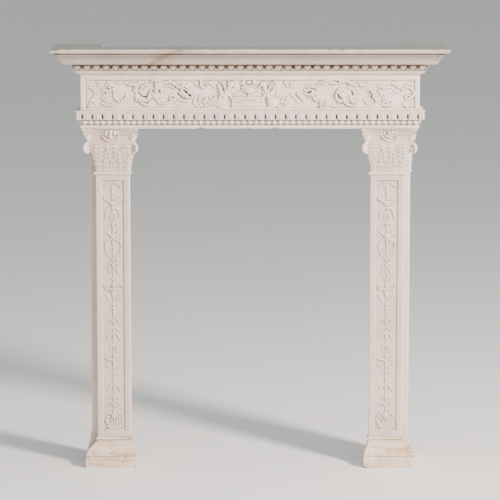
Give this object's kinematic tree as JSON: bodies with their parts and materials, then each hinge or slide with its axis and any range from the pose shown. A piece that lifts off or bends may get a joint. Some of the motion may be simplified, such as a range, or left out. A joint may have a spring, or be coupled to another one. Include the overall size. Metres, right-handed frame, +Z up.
{
  "type": "fireplace mantel",
  "caption": "Carved marble fireplace mantel with pilaster jambs, capitals, carved frieze and moulded shelf, for a firebox opening.",
  "frame": {"origin": "on the floor, midway between the legs and midway between the wall face and the shelf's front edge", "axes": "+Z up, +X along the wall to the viewer's right, -Y towards the room; the back faces lie on one plane at the greatest Y"},
  "size_m": [1.45, 0.32, 1.575],
  "materials": {
    "carved_marble": "carved white marble, honed, soft dirt in the recesses",
    "polished_marble": "polished white marble with a brown vein, dusty grey on top",
    "stained_marble": "honed marble, warm with wear and stains",
    "sawn_marble": "plain rubbed marble"
  },
  "bodies": {
    "root": {"shelf": "polished_marble", "bed_moulding_front": "carved_marble", "bed_moulding_return_left": "sawn_marble", "bed_moulding_return_right": "sawn_marble", "frieze_front": "carved_marble", "frieze_return_left": "sawn_marble", "frieze_return_right": "sawn_marble", "architrave_front": "carved_marble", "architrave_return_left": "sawn_marble", "architrave_return_right": "sawn_marble", "capital_left": "carved_marble", "capital_right": "carved_marble", "pilaster_left": "carved_marble", "pilaster_right": "carved_marble", "base_left": "stained_marble", "base_right": "stained_marble", "jamb_return_left": "sawn_marble", "jamb_return_right": "sawn_marble"}
  },
  "joints": []
}
